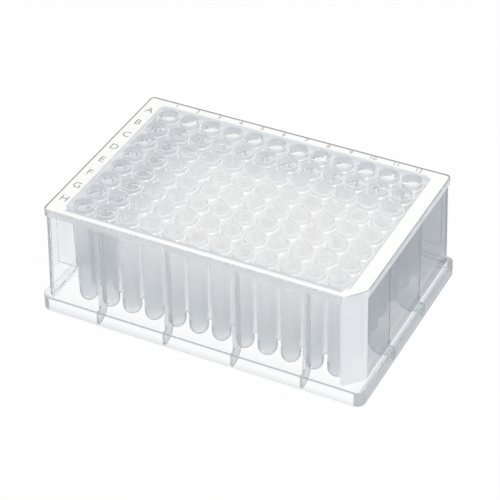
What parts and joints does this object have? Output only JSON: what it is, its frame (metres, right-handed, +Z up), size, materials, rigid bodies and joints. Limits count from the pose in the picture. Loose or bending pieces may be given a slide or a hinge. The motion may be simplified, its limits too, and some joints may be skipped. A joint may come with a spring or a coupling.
{
  "type": "deep-well plate",
  "caption": "Clear plastic deep-well plate with round wells in a standard grid, a white border on its top frame, a flared skirt and one cut corner.",
  "frame": {"origin": "centre of the footprint, on the surface the plate stands on", "axes": "+X along the columns from 1 to 12, +Y towards row A, +Z up; the cut corner beside well H12 is at +X, -Y"},
  "size_m": [0.1278, 0.0854, 0.0441],
  "materials": {
    "clear_plastic": "clear, colourless moulded polypropylene with a glossy skin and a faint haze",
    "white_plastic": "plain white, smooth satin"
  },
  "bodies": {
    "root": {"plate_body": "clear_plastic", "white_border": "white_plastic"}
  },
  "joints": []
}
